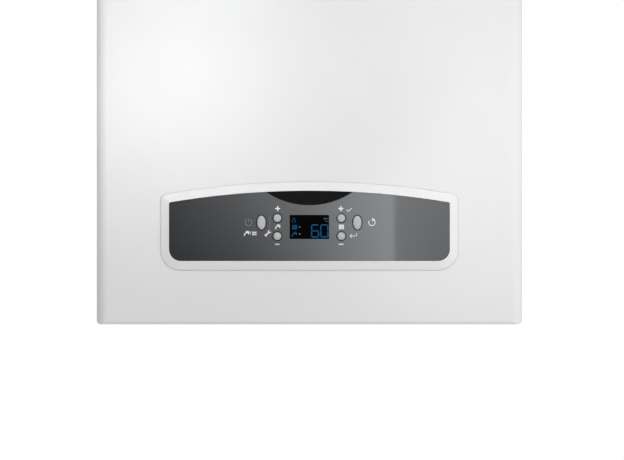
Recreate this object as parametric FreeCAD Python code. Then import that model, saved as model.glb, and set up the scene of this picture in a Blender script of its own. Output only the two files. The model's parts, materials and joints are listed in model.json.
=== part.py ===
import FreeCAD, Part
import math
import os

from FreeCAD import Vector as V

# Wall-hung, fan-flued combination boiler for central heating and hot water.
# X runs to the right seen from the front, Y runs back to the wall, Z runs up.
# Every shape is drawn with z = 0 at the casing's lower edge and y = 0 on the wall,
# then lowered by Z_MOUNT so that the origin is midway between the bracket's two wall screws.

# ---------------------------------------------------------------- driving dimensions (mm)
W, H, D = 400.0, 700.0, 300.0            # casing width, height, depth from the wall
Z_MOUNT = 636.0                          # height of the wall screws above the casing's lower edge
SHEET = 1.0                              # casing sheet
COVER_BACK = -259.5                      # rear edge of the front cover's returns
SIDE_FRONT = -258.0                      # front edge of the side panels
COVER_R_V, COVER_R_H, COVER_R_C = 10.0, 3.0, 4.0   # cover's vertical edges, horizontal edges, corners seen from the front

# control bezel outline (outer) and fascia outline, seen from the front
BZ = dict(hw=139.6, zb=51.0, zt=133.8, R=803.0, rb=18.5, rt=6.0)
FA = dict(hw=131.7, zb=59.5, zt=125.5, R=794.0, rb=11.0, rt=2.0)
BEZEL_FRONT = -304.0                     # bezel stands 4 mm proud of the cover
FASCIA_FRONT, FASCIA_BACK = -302.6, -300.6
CUT_GAP = 0.2                            # gap between bezel and the cover's cut-out
SEAT_GAP = 0.06                          # running gap at the seat behind it
# bezel section, as (inward offset, height above the cover): short wall, rounded edge, face rising to the fascia
BEZEL_SECTION = [(0.0, 0.0), (0.0, 0.4), (0.10, 0.75), (0.35, 1.06), (0.8, 1.34), (1.5, 1.62), (10.3, 4.6)]
PIVOT_Y, PIVOT_Z = -285.0, 37.8          # hinge axis of the control box
PIN_R = 2.5

OVAL_X, OVAL_Z, OVAL_A, OVAL_B = 45.0, 95.6, 4.0, 6.5     # oval buttons: place, half width, half height
ROUND_X, ROUND_Z1, ROUND_Z2, ROUND_R = 30.0, 99.8, 82.9, 3.7
LCD_Z, LCD_W, LCD_H = 91.5, 37.0, 22.6

PIPE_X = [-130.0, -65.0, 0.0, 65.0, 130.0]   # flow, hot water, gas, cold water, return
PIPE_Y = -95.0
G34_R, G12_R = 13.22, 10.48                  # outside thread radii, G 3/4 and G 1/2
FITTING_END = 4.0

FLUE_Y = -185.0
FLUE_IN_R, FLUE_OUT_R = 30.0, 50.0           # coaxial 60/100 flue
FLUE_TOP = 745.0

FAN_X, FAN_Z, FAN_R = -30.0, 625.0, 52.0
PUMP_X, PUMP_Z = 120.0, 205.0
VESSEL_Z, VESSEL_R = 500.0, 155.0
TAP_X, TAP_Y = 98.0, -150.0
GAUGE_X, GAUGE_Y, GAUGE_R = -100.0, -180.0, 20.0
RELIEF_X, RELIEF_Y = 168.0, -95.0

os.makedirs("parts", exist_ok=True)


# ---------------------------------------------------------------- helpers
def box(x0, x1, y0, y1, z0, z1):
    return Part.makeBox(x1 - x0, y1 - y0, z1 - z0, V(x0, y0, z0))


def cx(x0, x1, y, z, r):
    return Part.makeCylinder(r, x1 - x0, V(x0, y, z), V(1, 0, 0))


def cy(x, y0, y1, z, r):
    return Part.makeCylinder(r, y1 - y0, V(x, y0, z), V(0, 1, 0))


def cz(x, y, z0, z1, r):
    return Part.makeCylinder(r, z1 - z0, V(x, y, z0), V(0, 0, 1))


def fuse(*s):
    return s[0].multiFuse(list(s[1:])).removeSplitter() if len(s) > 1 else s[0]


def cut(a, *b):
    return a.cut(list(b))


def poly(pts, along, a0, a1):
    """A polygon extruded along an axis: points are the two other coordinates in X, Y, Z order."""
    place = {"x": lambda p: V(a0, p[0], p[1]), "y": lambda p: V(p[0], a0, p[1]), "z": lambda p: V(p[0], p[1], a0)}[along]
    step = {"x": V(a1 - a0, 0, 0), "y": V(0, a1 - a0, 0), "z": V(0, 0, a1 - a0)}[along]
    ring = [place(p) for p in pts]
    return Part.Face(Part.makePolygon(ring + ring[:1])).extrude(step)


def rrect(u0, u1, v0, v1, r, along, a0, a1):
    """A rectangle with rounded corners extruded along an axis."""
    b = {"x": lambda: box(a0, a1, u0, u1, v0, v1), "y": lambda: box(u0, u1, a0, a1, v0, v1), "z": lambda: box(u0, u1, v0, v1, a0, a1)}[along]()
    axis = {"x": V(1, 0, 0), "y": V(0, 1, 0), "z": V(0, 0, 1)}[along]
    es = [e for e in b.Edges if abs(abs(e.tangentAt(e.FirstParameter).dot(axis)) - 1) < 1e-6]
    return b.makeFillet(r, es)


def hexz(x, y, z0, z1, af):
    r = af / math.sqrt(3)
    return poly([(x + r * math.cos(math.radians(60 * i + 30)), y + r * math.sin(math.radians(60 * i + 30))) for i in range(6)], "z", z0, z1)


def outline(y, hw, zb, zt, R, rb, rt, grow=0.0):
    """Bezel-like outline in the plane at y: flat bottom with round corners, arched top."""
    hw, zb, zt, R, rb, rt = hw + grow, zb - grow, zt + grow, R + grow, max(rb + grow, 0.5), max(rt + grow, 0.5)
    zc = zt - R
    fx = hw - rt
    fz = zc + math.sqrt((R - rt) ** 2 - fx ** 2)
    k = R / (R - rt)
    tx, tz = fx * k, zc + (fz - zc) * k
    half = math.atan2(tz - fz, tx - fx) / 2
    mx, mz = fx + rt * math.cos(half), fz + rt * math.sin(half)
    s = math.sqrt(0.5)

    def P(x, z):
        return V(x, y, z)

    es = [
        Part.LineSegment(P(-hw + rb, zb), P(hw - rb, zb)),
        Part.Arc(P(hw - rb, zb), P(hw - rb + rb * s, zb + rb - rb * s), P(hw, zb + rb)),
        Part.LineSegment(P(hw, zb + rb), P(hw, fz)),
        Part.Arc(P(hw, fz), P(mx, mz), P(tx, tz)),
        Part.Arc(P(tx, tz), P(0, zt), P(-tx, tz)),
        Part.Arc(P(-tx, tz), P(-mx, mz), P(-hw, fz)),
        Part.LineSegment(P(-hw, fz), P(-hw, zb + rb)),
        Part.Arc(P(-hw, zb + rb), P(-(hw - rb + rb * s), zb + rb - rb * s), P(-hw + rb, zb)),
    ]
    return Part.Wire([e.toShape() for e in es])


def slab(shape, y0, y1, grow=0.0):
    return Part.Face(outline(y0, grow=grow, **shape)).extrude(V(0, y1 - y0, 0))


def pipe(pts, ro, ri, rb):
    """A tube along straight runs joined by tangent arcs of radius rb."""
    pts = [V(*p) for p in pts]

    def ring(p, d):
        return Part.makeFace([Part.Circle(p, d, ro).toShape(), Part.Circle(p, d, ri).toShape()], "Part::FaceMakerBullseye")

    out, start = [], pts[0]
    for i in range(1, len(pts) - 1):
        d1, d2 = (pts[i] - pts[i - 1]).normalize(), (pts[i + 1] - pts[i]).normalize()
        turn = d1.getAngle(d2)
        t = rb * math.tan(turn / 2)
        a, b = pts[i] - d1 * t, pts[i] + d2 * t
        out.append(ring(start, d1).extrude(a - start))
        n = (d2 - d1 * d1.dot(d2)).normalize()
        out.append(ring(a, d1).revolve(a + n * rb, d1.cross(d2).normalize(), math.degrees(turn)))
        start = b
    d = (pts[-1] - start).normalize()
    out.append(ring(start, d).extrude(pts[-1] - start))
    return fuse(*out)


def front_edges(shape, y):
    return [e for e in shape.Edges if abs(e.BoundBox.YMin - y) < 1e-5 and abs(e.BoundBox.YMax - y) < 1e-5]


def export(name, *solids):
    """Writes one node. Several solids stay separate in one node."""
    parts = []
    for s in solids:
        parts += s.Solids
    shape = parts[0] if len(parts) == 1 else Part.makeCompound(parts)
    shape = shape.copy()
    shape.translate(V(0, 0, -Z_MOUNT))
    bad = [i for i, s in enumerate(shape.Solids) if not s.isValid() or s.Volume <= 0]
    if bad or not shape.Solids:
        print("BAD", name, bad)
    shape.exportStep("parts/%s.step" % name)


# ---------------------------------------------------------------- frame and casing
# back frame: a folded tray standing 12 mm off the wall, with wall lips, a service window and two hooks
t = 1.5
window = rrect(-140, 140, 44, 268, 12, "y", -20, 5)
plate = cut(box(-185, 185, -13.5, -12, 18, 694), window)
lips = []
for s in (-1, 1):
    a, b = sorted((s * 185, s * 183.5))
    lips.append(box(a, b, -13.5, 0, 18, 694))
    a, b = sorted((s * 185, s * 165))
    lips.append(box(a, b, -1.5, 0, 18, 694))
hooks = [poly([(-12, 680), (-4, 680), (-4, 654), (-6, 654), (-6, 678), (-12, 678)], "x", x - 20, x + 20) for x in (-70, 70)]
ribs = [rrect(-150, 150, z, z + 14, 6.5, "y", -15.5, -12) for z in (300, 590)]
back_frame = fuse(plate, *lips, *hooks, *ribs)
export("back_frame", back_frame)

# wall bracket: a stepped strip whose upturned lip the frame's hooks drop over
bracket = poly([(0, 622), (0, 652), (-7.5, 652), (-7.5, 678), (-10, 678), (-10, 649.5), (-2.5, 649.5), (-2.5, 622)], "x", -155, 155)
bracket = cut(bracket, *[cy(x, -5, 1, Z_MOUNT, 4.5) for x in (-125, 125)])
export("wall_bracket", bracket)

# side panels: shallow trays with rounded outer edges
def side_panel(s):
    o = box(-200, -186, SIDE_FRONT, -0.5, 1, 699)
    es = [e for e in o.Edges if abs(e.BoundBox.XMin + 200) < 1e-6 and abs(e.BoundBox.XMax + 200) < 1e-6]
    o = o.makeFillet(2.0, es)
    i = box(-199, -180, SIDE_FRONT + 1, -1.5, 2, 698)
    p = cut(o, i)
    p = cut(p, cy(-193.5, -262, -250, 640, 3.3), cy(-193, -262, -250, 60, 2.05), cy(-193, -262, -250, 560, 2.05))
    p = cut(p, box(-190, -180, -2, 0, 0, 700))
    return p if s < 0 else p.mirror(V(0, 0, 0), V(1, 0, 0))


export("left_side_panel", side_panel(-1))
export("right_side_panel", side_panel(1))

# top panel with the flue opening
top = rrect(-199.5, 199.5, SIDE_FRONT, -2, 3, "z", 699, 700)
holes = [cz(0, FLUE_Y, 690, 705, 56)]
holes += [cz(64 * math.cos(math.radians(a)), FLUE_Y + 64 * math.sin(math.radians(a)), 690, 705, 1.9) for a in (45, 135, 225, 315)]
top = cut(top, *holes)
export("top_panel", top)

# bottom plate with pipe holes and front flange, and two notched brackets for the cover's screws
bp = box(-184, 184, -252, -14, 30, 31.5)
bp = fuse(bp, box(-184, 184, -252, -250.5, 30, 40))
tabs = []
for s in (-1, 1):
    a, b = sorted((s * 98, s * 114))
    tab = fuse(box(a, b, -253.5, -252, 2, 36), box(a, b, -284, -252, 2, 3.5))
    tabs.append(cut(tab, cz(s * 106, -276, 0, 10, 2.9), box(s * 106 - 2.9, s * 106 + 2.9, -290, -276, 0, 10)))
holes = [cz(x, PIPE_Y, 25, 35, r) for x, r in zip(PIPE_X, (12.2, 10.2, 12.2, 10.2, 12.2))]
holes += [cz(TAP_X, TAP_Y, 25, 35, 5.0), cz(GAUGE_X, GAUGE_Y, 25, 35, 6.2), cz(RELIEF_X, RELIEF_Y, 25, 35, 7.4)]
holes += [cz(x, -215, 25, 35, 7.2) for x in (-165, -130)]
bp = cut(bp, *holes)
export("bottom_plate", bp, *tabs)


# front cover: pressed tray with a lipped cut-out for the control bezel
def cover_body(g, back):
    """Cover volume inset by g: rounded in plan, in side view and seen from the front."""
    w, h0, h1, f = W / 2 - g, 0 + g, H - g, -D + g
    rv, rh, rc = COVER_R_V - g, COVER_R_H - g, max(COVER_R_C - g, 0.5)
    plan = box(-w, w, f, back, -10, H + 10)
    plan = plan.makeFillet(rv, [e for e in plan.Edges if abs(e.BoundBox.ZLength - (H + 20)) < 1e-6 and abs(e.BoundBox.YMax - f) < 1e-6])
    side = box(-W, W, f, back, h0, h1)
    side = side.makeFillet(rh, [e for e in side.Edges if abs(e.BoundBox.XLength - 2 * W) < 1e-6 and abs(e.BoundBox.YMax - f) < 1e-6])
    face = rrect(-w, w, h0, h1, rc, "y", f - 5, back)
    return plan.common(side).common(face)


cover = cut(cover_body(0, COVER_BACK), cover_body(SHEET, COVER_BACK + 10))
lip = cut(slab(BZ, -D + 0.2, -D + 3.6, CUT_GAP + 1.1), slab(BZ, -D - 1, -D + 4, CUT_GAP))
seat = cut(slab(BZ, -D + 0.3, -D + 3.6, CUT_GAP + 1.1), slab(BZ, -D + 0.1, -D + 5, SEAT_GAP))
cover = fuse(cut(cover, slab(BZ, -D - 2, -D + 2, CUT_GAP)), lip)
rim = [e for e in front_edges(cover, -D) if e.BoundBox.ZMax < 200 and e.BoundBox.ZMin > 20 and e.BoundBox.XMax < 150 and e.BoundBox.XMin > -150]
cover = fuse(cover.makeFillet(0.6, rim), seat)
for s in (-1, 1):
    cone = Part.makeCone(4.6, 2.6, 2.0, V(s * 106, -276, -0.01), V(0, 0, 1))
    cover = cut(cover, cone)
export("front_cover", cover)

# cover fasteners: two countersunk screws with captive nuts below, two push-in studs on welded angles
fasteners = []
for s in (-1, 1):
    x = s * 106
    screw = fuse(Part.makeCone(4.4, 2.0, 2.4, V(x, -276, 0.15), V(0, 0, 1)), cz(x, -276, 1.0, 12, 2.0))
    screw = cut(screw, box(x - 3.4, x + 3.4, -276.5, -275.5, 0, 0.9), box(x - 0.5, x + 0.5, -279.4, -272.6, 0, 0.9))
    nut = cut(cz(x, -276, 4.2, 7.0, 4.2), cz(x, -276, 4, 8, 2.0))
    fasteners += [screw, nut]
    a, b = sorted((s * 199, s * 188))
    angle = fuse(box(a, b, -275, -273.5, 628, 652), box(*sorted((s * 199, s * 197.5)), -290, -273.5, 628, 652))
    stud = fuse(cy(s * 193.5, -273.5, -256, 640, 3.0), Part.makeCone(3.0, 1.6, 4, V(s * 193.5, -256, 640), V(0, 1, 0)))
    fasteners.append(fuse(angle, stud))
export("cover_fasteners", *fasteners)

# ---------------------------------------------------------------- control panel
# bezel: arched frame, its face falling away towards the outer edge, with a recess for the fascia and a pierced back wall
bez = Part.makeLoft([outline(-D - h, grow=-g, **BZ) for g, h in BEZEL_SECTION], True, True)
wall = slab(BZ, -D - 0.6, -D + 1.4, -7.0)
bez = fuse(bez, wall)
flare = Part.makeLoft([outline(y, grow=g, **FA) for g, y in ((0, FASCIA_BACK), (0, -303.5), (1.3, -304.8))], True, True)
bez = cut(bez, flare)


def oval(x, z, a, b, y0, y1):
    """Upright ellipse extruded along Y, half width a, half height b."""
    e = Part.Ellipse(V(x, y0, z + b), V(x + a, y0, z), V(x, y0, z))
    return Part.Face(Part.Wire(e.toShape())).extrude(V(0, y1 - y0, 0))


def key(kind, x, z, grow, y0, y1):
    return oval(x, z, OVAL_A + grow, OVAL_B + grow, y0, y1) if kind == "oval" else cy(x, y0, y1, z, ROUND_R + grow)


KEYS = {
    "power_button": ("oval", -OVAL_X, OVAL_Z),
    "reset_button": ("oval", OVAL_X, OVAL_Z),
    "hot_water_up_button": ("round", -ROUND_X, ROUND_Z1),
    "hot_water_down_button": ("round", -ROUND_X, ROUND_Z2),
    "heating_up_button": ("round", ROUND_X, ROUND_Z1),
    "heating_down_button": ("round", ROUND_X, ROUND_Z2),
}
bez = cut(bez, *[key(k, x, z, 2.0, -D - 2, -D + 3) for k, x, z in KEYS.values()], box(-24.5, 24.5, -D - 2, -D + 3, 77.5, 105.5))
export("control_bezel", bez)

fascia = slab(FA, FASCIA_FRONT, FASCIA_BACK, -0.1)
fascia = cut(fascia, *[key(k, x, z, 0.9, -310, -295) for k, x, z in KEYS.values()])
fascia = cut(fascia, rrect(-LCD_W / 2, LCD_W / 2, LCD_Z - LCD_H / 2, LCD_Z + LCD_H / 2, 0.8, "y", -310, -295))
export("fascia_panel", fascia)

lens = rrect(-LCD_W / 2 + 0.05, LCD_W / 2 - 0.05, LCD_Z - LCD_H / 2 + 0.05, LCD_Z + LCD_H / 2 - 0.05, 0.75, "y", -302.45, -300.7)
export("display_lens", lens)

for name, (kind, x, z) in KEYS.items():
    cap = key(kind, x, z, 0, -304.2, -300.5)
    cap = cap.makeFillet(1.1, front_edges(cap, -304.2))
    b = fuse(cap, key(kind, x, z, 1.6, -300.5, -299.7), cy(x, -299.7, -296.8, z, 2.0))
    export(name, b)

# display board: carrier, display module and six tactile switches
board = rrect(-66, 66, 66, 108, 2, "y", -294.4, -292.8)
lcd = box(-24, 24, -300.4, -294.4, 78, 105)
tacts = [box(x - 3, x + 3, -295.5, -294.4, z - 3, z + 3) for _, x, z in KEYS.values()]
posts = [cy(x, -D + 1.4, -294.4, z, 3) for x in (-60, 60) for z in (70, 104)]
export("display_board", board, lcd, *(tacts + posts))

# control box: open tray with two pivot ears
cb = cut(rrect(-128, 128, 58, 111, 3, "y", -D + 1.4, -245), rrect(-126, 126, 60, 109, 1.5, "y", -D, -240))
ears = []
for s in (-1, 1):
    a, b = sorted((s * 118, s * 124))
    p = [(2, 7), (20, 20.4), (34, 20.4), (7, -1), (0, 0)]
    ear = poly([(PIVOT_Y + u, PIVOT_Z + v) for u, v in p], "x", a, b)
    ears.append(fuse(ear, cx(a, b, PIVOT_Y, PIVOT_Z, 7.0)))
cb = fuse(cb, *ears)
cb = cut(cb, *[cx(s * 121 - 6, s * 121 + 6, PIVOT_Y, PIVOT_Z, PIN_R + 0.05) for s in (-1, 1)])
standoffs = [cy(x, -292.8, -268, z, 3) for x in (-60, 60) for z in (70, 104)]
export("control_box", cb)

cover2 = rrect(-128, 128, 58, 111, 3, "y", -245, -243)
cover2 = fuse(cover2, cut(rrect(-125.8, 125.8, 60.2, 108.8, 1.4, "y", -249, -245), rrect(-124, 124, 62, 107, 1, "y", -250, -244)))
cover2 = cut(cover2, *[rrect(x, x + 4, 70, 99, 1.9, "y", -246, -242) for x in range(-100, 101, 10) if abs(x) > 35])
export("control_box_cover", cover2)

pcb = rrect(-118, 118, 63, 106, 2, "y", -268, -266.4)
comps = [box(-110, -74, -266.4, -253, 68, 100)]
comps += [box(-60 + 18 * i, -46 + 18 * i, -266.4, -252, 70, 90) for i in range(3)]
comps += [cy(12 + 13 * i, -266.4, -252, 94, 5) for i in range(3)]
comps += [box(10 + 24 * i, 30 + 24 * i, -266.4, -256, 65.5, 74) for i in range(4)]
comps += [box(60, 78, -266.4, -263.5, 84, 100), cy(98, -266.4, -258, 92, 6)]
export("main_board", pcb, *(comps + standoffs))

# hinge pins, held in two brackets on the bottom plate
pins, brackets = [], []
for s in (-1, 1):
    a, b = sorted((s * 117, s * 128.5))
    c, d = sorted((s * 128.5, s * 131))
    pins.append(fuse(cx(a, b, PIVOT_Y, PIVOT_Z, PIN_R), cx(c, d, PIVOT_Y, PIVOT_Z, 4.5)))
    a, b = sorted((s * 126.5, s * 128.5))
    side = fuse(poly([(-288, 30.5), (-226, 31.5), (-226, 52), (-248, 52), (-282, 45.2), (-285, 45.2)], "x", a, b), cx(a, b, PIVOT_Y, PIVOT_Z, 8.0))
    side = cut(side, cx(s * 127.5 - 4, s * 127.5 + 4, PIVOT_Y, PIVOT_Z, PIN_R), box(-200, 200, -252.2, -220, 20, 31.5), box(-200, 200, -252.2, -250.3, 20, 40.1))
    c, d = sorted((s * 128.5, s * 144))
    brackets.append(fuse(side, box(c, d, -248, -226, 31.5, 33.0)))
export("control_hinge_pins", *pins)
export("control_brackets", *brackets)

# ---------------------------------------------------------------- sealed chamber
ch = cut(box(-182, 182, -284, -98, 300, 694), box(-181, 181, -283, -99, 301, 693), box(-170, 170, -290, -280, 312, 682))
DOOR_SCREWS = [(x, z) for x in (-176, 176) for z in (320, 497, 674)]
ch = cut(ch, cz(-165, -190, 295, 305, 9.6), cz(163, -139, 295, 305, 9.6), cz(0, -262, 295, 305, 9.6), cz(0, FLUE_Y, 690, 700, 51))
ch = cut(ch, *[cy(x, -290, -280, z, 2.05) for x, z in DOOR_SCREWS])
ch = cut(ch, *[cz(64 * math.cos(math.radians(a)), FLUE_Y + 64 * math.sin(math.radians(a)), 690, 705, 1.9) for a in (45, 135, 225, 315)])
export("sealed_chamber", ch)

gasket = cut(rrect(-181, 181, 301, 693, 6, "y", -286, -284), rrect(-170.5, 170.5, 311.5, 682.5, 4, "y", -290, -280))
gasket = cut(gasket, *[cy(x, -290, -280, z, 2.05) for x, z in DOOR_SCREWS])
export("door_gasket", gasket)

SIGHT_Z = 372.0
door = rrect(-183, 183, 299, 695, 4, "y", -287.2, -286)
raised = [rrect(-150, 150, z, z + 16, 7.5, "y", -289.4, -287) for z in (430, 530, 630)]
door = fuse(door, *raised, cy(0, -290.4, -287, SIGHT_Z, 21))
door = cut(door, cy(0, -295, -280, SIGHT_Z, 13), cy(0, -295, -287.9, SIGHT_Z, 16), *[cy(x, -295, -280, z, 2.05) for x, z in DOOR_SCREWS])
export("chamber_door", door)
export("sight_glass", cy(0, -289.9, -287.9, SIGHT_Z, 15.9))

box_c = cut(box(-150, 150, -262, -122, 345, 485), box(-149, 149, -261, -123, 340, 490))
box_c = cut(box_c, cy(0, -265, -260, SIGHT_Z, 13))
export("combustion_box", box_c)
boards = [box(-149, -137, -261, -123, 356, 484), box(137, 149, -261, -123, 356, 484), box(-137, 137, -261, -249, 356, 484), box(-137, 137, -135, -123, 356, 484)]
boards[2] = cut(boards[2], cy(0, -265, -245, SIGHT_Z, 11))
export("insulation_boards", *boards)

# finned heat exchanger, brazed into one piece
fins = [box(-130 + 9 * i, -128.8 + 9 * i, -252, -132, 489, 533) for i in range(29)]
tubes = [cx(-142, 142, y, 511, 9) for y in (-238, -215, -192, -169, -146)]
headers = [rrect(-252, -132, 497, 527, 6, "x", -177, -141), rrect(-252, -132, 497, 527, 6, "x", 141, 177)]
frame_plates = [box(-141, -139.5, -255, -129, 486, 535), box(139.5, 141, -255, -129, 486, 535)]
hx = fuse(*fins, *tubes, *headers, *frame_plates)
export("heat_exchanger", hx)

hood = cut(box(-150, 150, -257, -127, 535, 572), box(-149, 149, -256, -128, 530, 571))
riser = cut(box(-72, 12, -154, -127, 571, 690), box(-71, 11, -153, -128, 560, 689), cy(FAN_X, -160, -150, FAN_Z, 28))
hood = cut(fuse(hood, riser), box(-71, 11, -153, -128, 560, 689))
export("flue_hood", hood)

outer = fuse(cy(FAN_X, -215, -154.5, FAN_Z, FAN_R), box(-26, 26, -215, -154.5, FAN_Z, 680), cz(0, FLUE_Y, 679, 692, 28.9))
innr = fuse(cy(FAN_X, -213.5, -156, FAN_Z, FAN_R - 1.5), box(-24.5, 24.5, -213.5, -156, FAN_Z, 678.5), cz(0, FLUE_Y, 670, 700, 27.4))
housing = cut(outer, innr, cy(FAN_X, -160, -150, FAN_Z, 28), cy(FAN_X, -220, -210, FAN_Z, 6))
export("fan_housing", housing)

blades = []
for i in range(20):
    b = box(30, 46.5, -0.7, 0.7, -19, 20)
    b.rotate(V(30, 0, 0), V(0, 0, 1), 28)
    b.rotate(V(0, 0, 0), V(0, 0, 1), 18.0 * i)
    blades.append(b)
wheel = fuse(Part.makeCylinder(48, 1.6, V(0, 0, -20.5)), cut(Part.makeCylinder(48, 1.6, V(0, 0, 19.5)), Part.makeCylinder(34, 5, V(0, 0, 18))), Part.makeCylinder(10, 22, V(0, 0, -20.5)), *blades)
wheel = fuse(wheel, Part.makeCylinder(4, 46, V(0, 0, -64)))
wheel.rotate(V(0, 0, 0), V(1, 0, 0), -90)
wheel.translate(V(FAN_X, -185, FAN_Z))
export("fan_impeller", wheel)

motor = fuse(cy(FAN_X, -252, -222, FAN_Z, 30), cy(FAN_X, -258, -252, FAN_Z, 14), box(FAN_X - 22, FAN_X + 22, -246, -228, FAN_Z - 44, FAN_Z))
legs = [cy(FAN_X + 25 * math.cos(math.radians(a)), -222, -215, FAN_Z + 25 * math.sin(math.radians(a)), 3.5) for a in (90, 210, 330)]
motor = cut(fuse(motor, *legs), cy(FAN_X, -253, -214, FAN_Z, 4.05))
export("fan_motor", motor)

# coaxial flue connection on top
tube = cut(cz(0, FLUE_Y, 702, FLUE_TOP, FLUE_OUT_R), cz(0, FLUE_Y, 685, 750, FLUE_OUT_R - 1.5))
neck = cut(cz(0, FLUE_Y, 692, 700, 49.5), cz(0, FLUE_Y, 685, 750, FLUE_OUT_R - 1.5))
collar = cut(cz(0, FLUE_Y, 700, 702, 72), cz(0, FLUE_Y, 685, 750, FLUE_OUT_R - 1.5))
collar = cut(collar, *[cz(64 * math.cos(math.radians(a)), FLUE_Y + 64 * math.sin(math.radians(a)), 690, 705, 1.9) for a in (45, 135, 225, 315)])
export("flue_collar", collar, neck, tube)
spigot = cut(cz(0, FLUE_Y, 682, FLUE_TOP - 3, FLUE_IN_R), cz(0, FLUE_Y, 680, 750, FLUE_IN_R - 1.0))
export("flue_spigot", spigot)

aps = fuse(cy(125, -252, -244, 640, 30), cy(125, -244, -232, 640, 24), box(115, 135, -246, -240, 660, 693), cy(118, -262, -252, 632, 3), cy(132, -262, -252, 632, 3))
export("air_pressure_switch", aps)

# burner blades, gas manifold with injectors, two electrodes
ramps = []
for i in range(11):
    x = -120 + 24 * i
    r = poly([(x - 8, 312), (x + 8, 312), (x + 8, 338), (x + 3, 350), (x - 3, 350), (x - 8, 338)], "y", -245, -140)
    r = cut(r, cy(x, -246, -225, 324, 5), *[box(x - 4, x + 4, y, y + 2.4, 345, 352) for y in range(-238, -146, 8)])
    ramps.append(r)
export("burner_ramps", *ramps)
man = fuse(cx(-132, 132, -262, 324, 9), *[cy(-120 + 24 * i, -255, -248, 324, 3.2) for i in range(11)], cz(0, -262, 306, 320, 9))
export("burner_manifold", man)
elec = []
for s in (-1, 1):
    ce = cz(s * 60, -200, 303, 352, 3.2)
    elec += [ce, cz(s * 60, -200, 352, 372, 1.0)]
export("electrodes", *elec)

# ---------------------------------------------------------------- hydraulics
def vessel(g):
    r, y0, y1, e = VESSEL_R - g, -92 + g, -20 - g, 30 - g
    c = cy(0, y0, y1, VESSEL_Z, r)
    return c.makeFillet(e, [k for k in c.Edges if k.Curve.TypeId == "Part::GeomCircle"])


neck = cz(65, -55, 338, 372, 8)
ves = cut(fuse(vessel(0), neck), vessel(1.5))
ves = fuse(ves, cz(0, -56, VESSEL_Z + VESSEL_R - 0.5, VESSEL_Z + VESSEL_R + 9, 4))
export("expansion_vessel", ves)

volute = fuse(cy(PUMP_X, -160, -118, PUMP_Z, 50), cz(PUMP_X, -139, 122, 165, 16), cz(163, -139, PUMP_Z, 262, 13))
cav = fuse(cy(PUMP_X, -165, -126, PUMP_Z, 40), cz(PUMP_X, -139, 115, 190, 11), cz(163, -139, PUMP_Z, 270, 7.5))
volute = cut(volute, cav)
export("pump_housing", volute)

can = cy(PUMP_X, -236, -160, PUMP_Z, 45)
can = can.makeFillet(6, front_edges(can, -236))
flange = cy(PUMP_X, -166, -160, PUMP_Z, 50)
term = rrect(PUMP_X - 24, PUMP_X + 24, -226, -176, 4, "z", 240, 264)
can = fuse(can, flange, term, cy(PUMP_X, -239, -236, PUMP_Z, 11))
can = cut(can, cy(PUMP_X, -230, -150, PUMP_Z, 5.05), box(PUMP_X - 7, PUMP_X + 7, -240, -238, PUMP_Z - 1, PUMP_Z + 1))
export("pump_motor", can)

imp = [cy(PUMP_X, -150, -147.5, PUMP_Z, 36), cut(cy(PUMP_X, -134, -132, PUMP_Z, 36), cy(PUMP_X, -136, -130, PUMP_Z, 14)), cy(PUMP_X, -150, -140, PUMP_Z, 8)]
for i in range(6):
    v = box(PUMP_X + 12, PUMP_X + 35, -147.6, -133.9, PUMP_Z - 1, PUMP_Z + 1)
    v.rotate(V(PUMP_X + 12, 0, PUMP_Z), V(0, 1, 0), 25)
    v.rotate(V(PUMP_X, 0, PUMP_Z), V(0, 1, 0), 60 * i)
    imp.append(v)
rotor = fuse(*imp, cy(PUMP_X, -226, -147, PUMP_Z, 5.0))
export("pump_rotor", rotor)

# air vent on top of the pump housing
vent = fuse(cz(PUMP_X, -139, 250, 262, 9), cz(PUMP_X, -139, 262, 286, 15), cz(PUMP_X, -139, 286, 294, 6))
vent = cut(vent, cy(PUMP_X, -165, -118, PUMP_Z, 50), cz(163, -139, 200, 270, 13))
export("air_vent", vent)

# hydraulic groups either side of the plate exchanger
DIV_TOP = 150.0
fg = fuse(cz(-130, PIPE_Y, 31.5, DIV_TOP, 20), cz(-65, PIPE_Y, 31.5, 110, 17), cx(-130, -65, PIPE_Y, 75, 17), cy(-65, -95, -58, 75, 12), rrect(-178, -150, -108, -82, 4, "z", 102, 128), cx(-160, -130, PIPE_Y, 115, 12))
fg = cut(fg, cz(-130, PIPE_Y, 85, 138, 14), cz(-130, PIPE_Y, 137, 151, 4.05), cz(-130, PIPE_Y, 31, 60, 8), cz(-65, PIPE_Y, 31, 60, 6))
export("flow_group", fg)
spindle = fuse(cz(-130, PIPE_Y, 100, 165, 4.0), cz(-130, PIPE_Y, 98, 106, 12.5))
export("diverter_spindle", spindle)
dm = fuse(rrect(-154, -106, -118, -72, 5, "z", 150, 186), cz(-130, PIPE_Y, 186, 206, 19))
dm = cut(dm, cz(-130, PIPE_Y, 149, 178, 4.4))
export("diverter_motor", dm)

rg = fuse(cz(130, PIPE_Y, 31.5, 124, 20), cz(65, PIPE_Y, 31.5, 110, 17), cx(65, 130, PIPE_Y, 75, 17), cy(65, -95, -58, 75, 12), rrect(102, 138, -157, -99, 4, "z", 88, 122), cz(TAP_X, TAP_Y, 31.5, 66, 11), cy(TAP_X, TAP_Y, -95, 54, 9))
rg = cut(rg, cz(TAP_X, TAP_Y, 30, 56, 4.05), cz(130, PIPE_Y, 31, 60, 8), cz(65, PIPE_Y, 31, 60, 6))
export("return_group", rg)
knob = cz(TAP_X, TAP_Y, 7, 27, 11)
knob = fuse(knob, *[cz(TAP_X + 10 * math.cos(math.radians(a)), TAP_Y + 10 * math.sin(math.radians(a)), 7, 27, 4) for a in range(0, 360, 60)])
knob = fuse(knob, cz(TAP_X, TAP_Y, 27, 52, 4.0))
export("filling_tap_knob", knob)

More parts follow.
